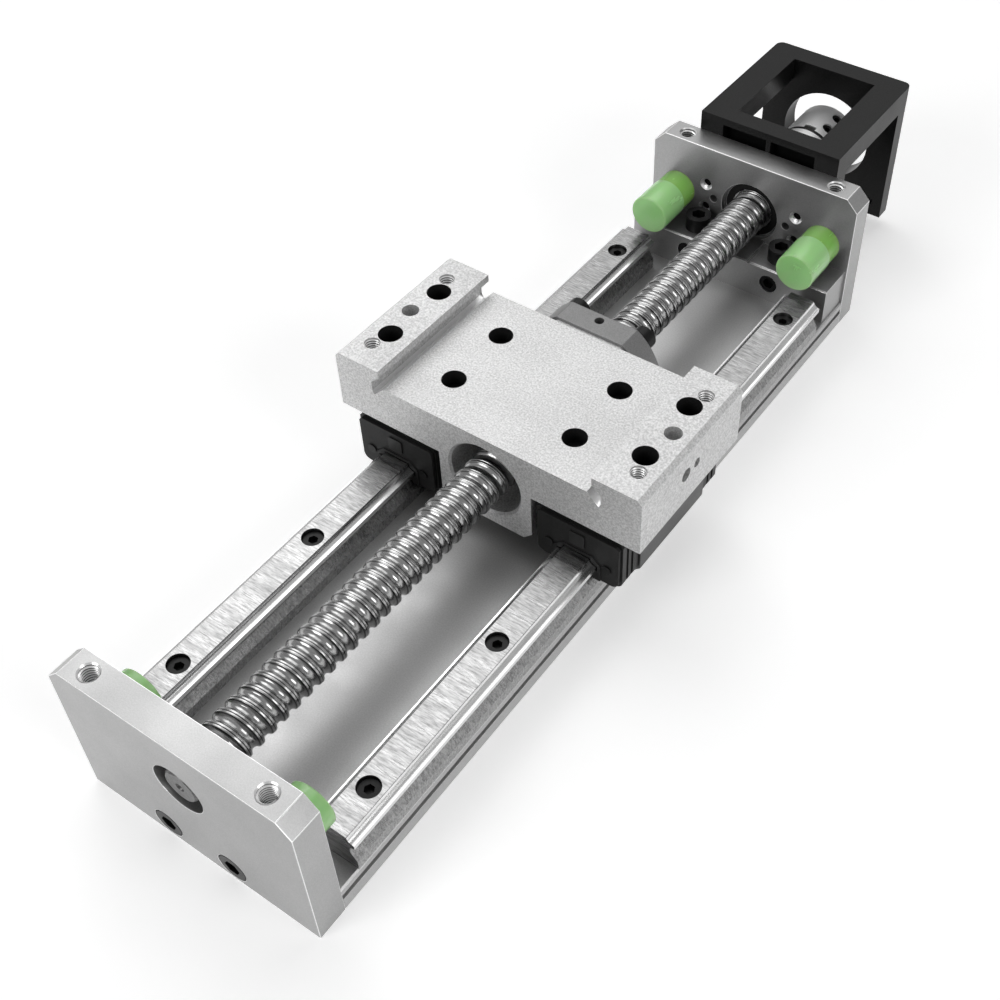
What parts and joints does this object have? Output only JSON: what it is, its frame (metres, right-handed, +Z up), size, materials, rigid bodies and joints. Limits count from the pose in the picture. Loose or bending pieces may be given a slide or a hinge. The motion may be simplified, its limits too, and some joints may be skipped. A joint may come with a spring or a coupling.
{
  "type": "ball screw linear stage",
  "caption": "Motorised linear stage: a saddle on profile rails, driven along a base plate by a ball screw, with end plates, bumpers and a motor bracket.",
  "frame": {"origin": "middle of the underside of the base plate, where the stage rests", "axes": "+Z up, +Y along the screw towards the motor bracket, +X to the right when looking from the idler end"},
  "size_m": [0.1194, 0.3855, 0.0665],
  "materials": {
    "plate_aluminium": "satin milled",
    "saddle_aluminium": "bead blasted",
    "rail_steel": "ground",
    "screw_steel": "polished",
    "bearing_steel": "ground",
    "block_steel": "dark plated",
    "black_screws": "black oxide",
    "cap_plastic": "moulded",
    "seal_rubber": "moulded",
    "bumper_green": "translucent elastomer",
    "bracket_black": "black anodised",
    "coupling_aluminium": "matt"
  },
  "bodies": {
    "frame": {"base_plate": "plate_aluminium", "idler_end_plate": "plate_aluminium", "motor_end_plate": "plate_aluminium", "motor_foot_block": "plate_aluminium", "rail_left": "rail_steel", "rail_right": "rail_steel", "rail_screws": "black_screws", "idler_plate_screws": "black_screws", "motor_plate_screws": "black_screws", "foot_clamp_screws": "black_screws", "foot_lock_screws": "black_screws", "bracket_screws": "black_screws", "bumper_studs": "bearing_steel", "near_bumper_left": "bumper_green", "near_bumper_right": "bumper_green", "far_bumper_left": "bumper_green", "far_bumper_right": "bumper_green", "idler_bearing_outer_ring": "bearing_steel", "idler_bearing_seals": "seal_rubber", "idler_bearing_balls": "bearing_steel", "motor_bearing_outer_ring": "bearing_steel", "motor_bearing_seals": "seal_rubber", "motor_bearing_balls": "bearing_steel", "motor_bracket": "bracket_black"},
    "screw": {"ball_screw": "screw_steel", "idler_bearing_inner_ring": "bearing_steel", "motor_bearing_inner_ring": "bearing_steel", "idler_retaining_ring": "black_screws", "bearing_locknut": "black_screws", "coupling_screw_hub": "coupling_aluminium", "coupling_motor_hub": "coupling_aluminium", "coupling_center_disc": "cap_plastic", "coupling_set_screws": "black_screws"},
    "carriage": {"saddle": "saddle_aluminium", "block_screws": "black_screws", "block_body_left": "block_steel", "block_body_right": "block_steel", "block_cap_left_front": "cap_plastic", "block_cap_left_back": "cap_plastic", "block_cap_right_front": "cap_plastic", "block_cap_right_back": "cap_plastic", "block_end_seals": "seal_rubber", "block_cap_screws": "black_screws", "block_grease_plugs": "cap_plastic", "ball_nut": "block_steel", "nut_wipers": "cap_plastic", "nut_flange_screws": "black_screws"}
  },
  "joints": [
    {"name": "carriage_slide", "type": "slide", "parent": "frame", "child": "carriage", "axis": [0, 1, 0], "range_m": [-0.1175, 0.0825]},
    {"name": "screw_spin", "type": "hinge", "parent": "frame", "child": "screw", "pos_m": [0, 0, 0.0365], "axis": [0, 1, 0], "range_deg": [-5940.5, 8460.5]}
  ],
  "couplings": [
    {"joint": "screw_spin", "follows": "carriage_slide", "rad_per_m": -1256.6}
  ]
}
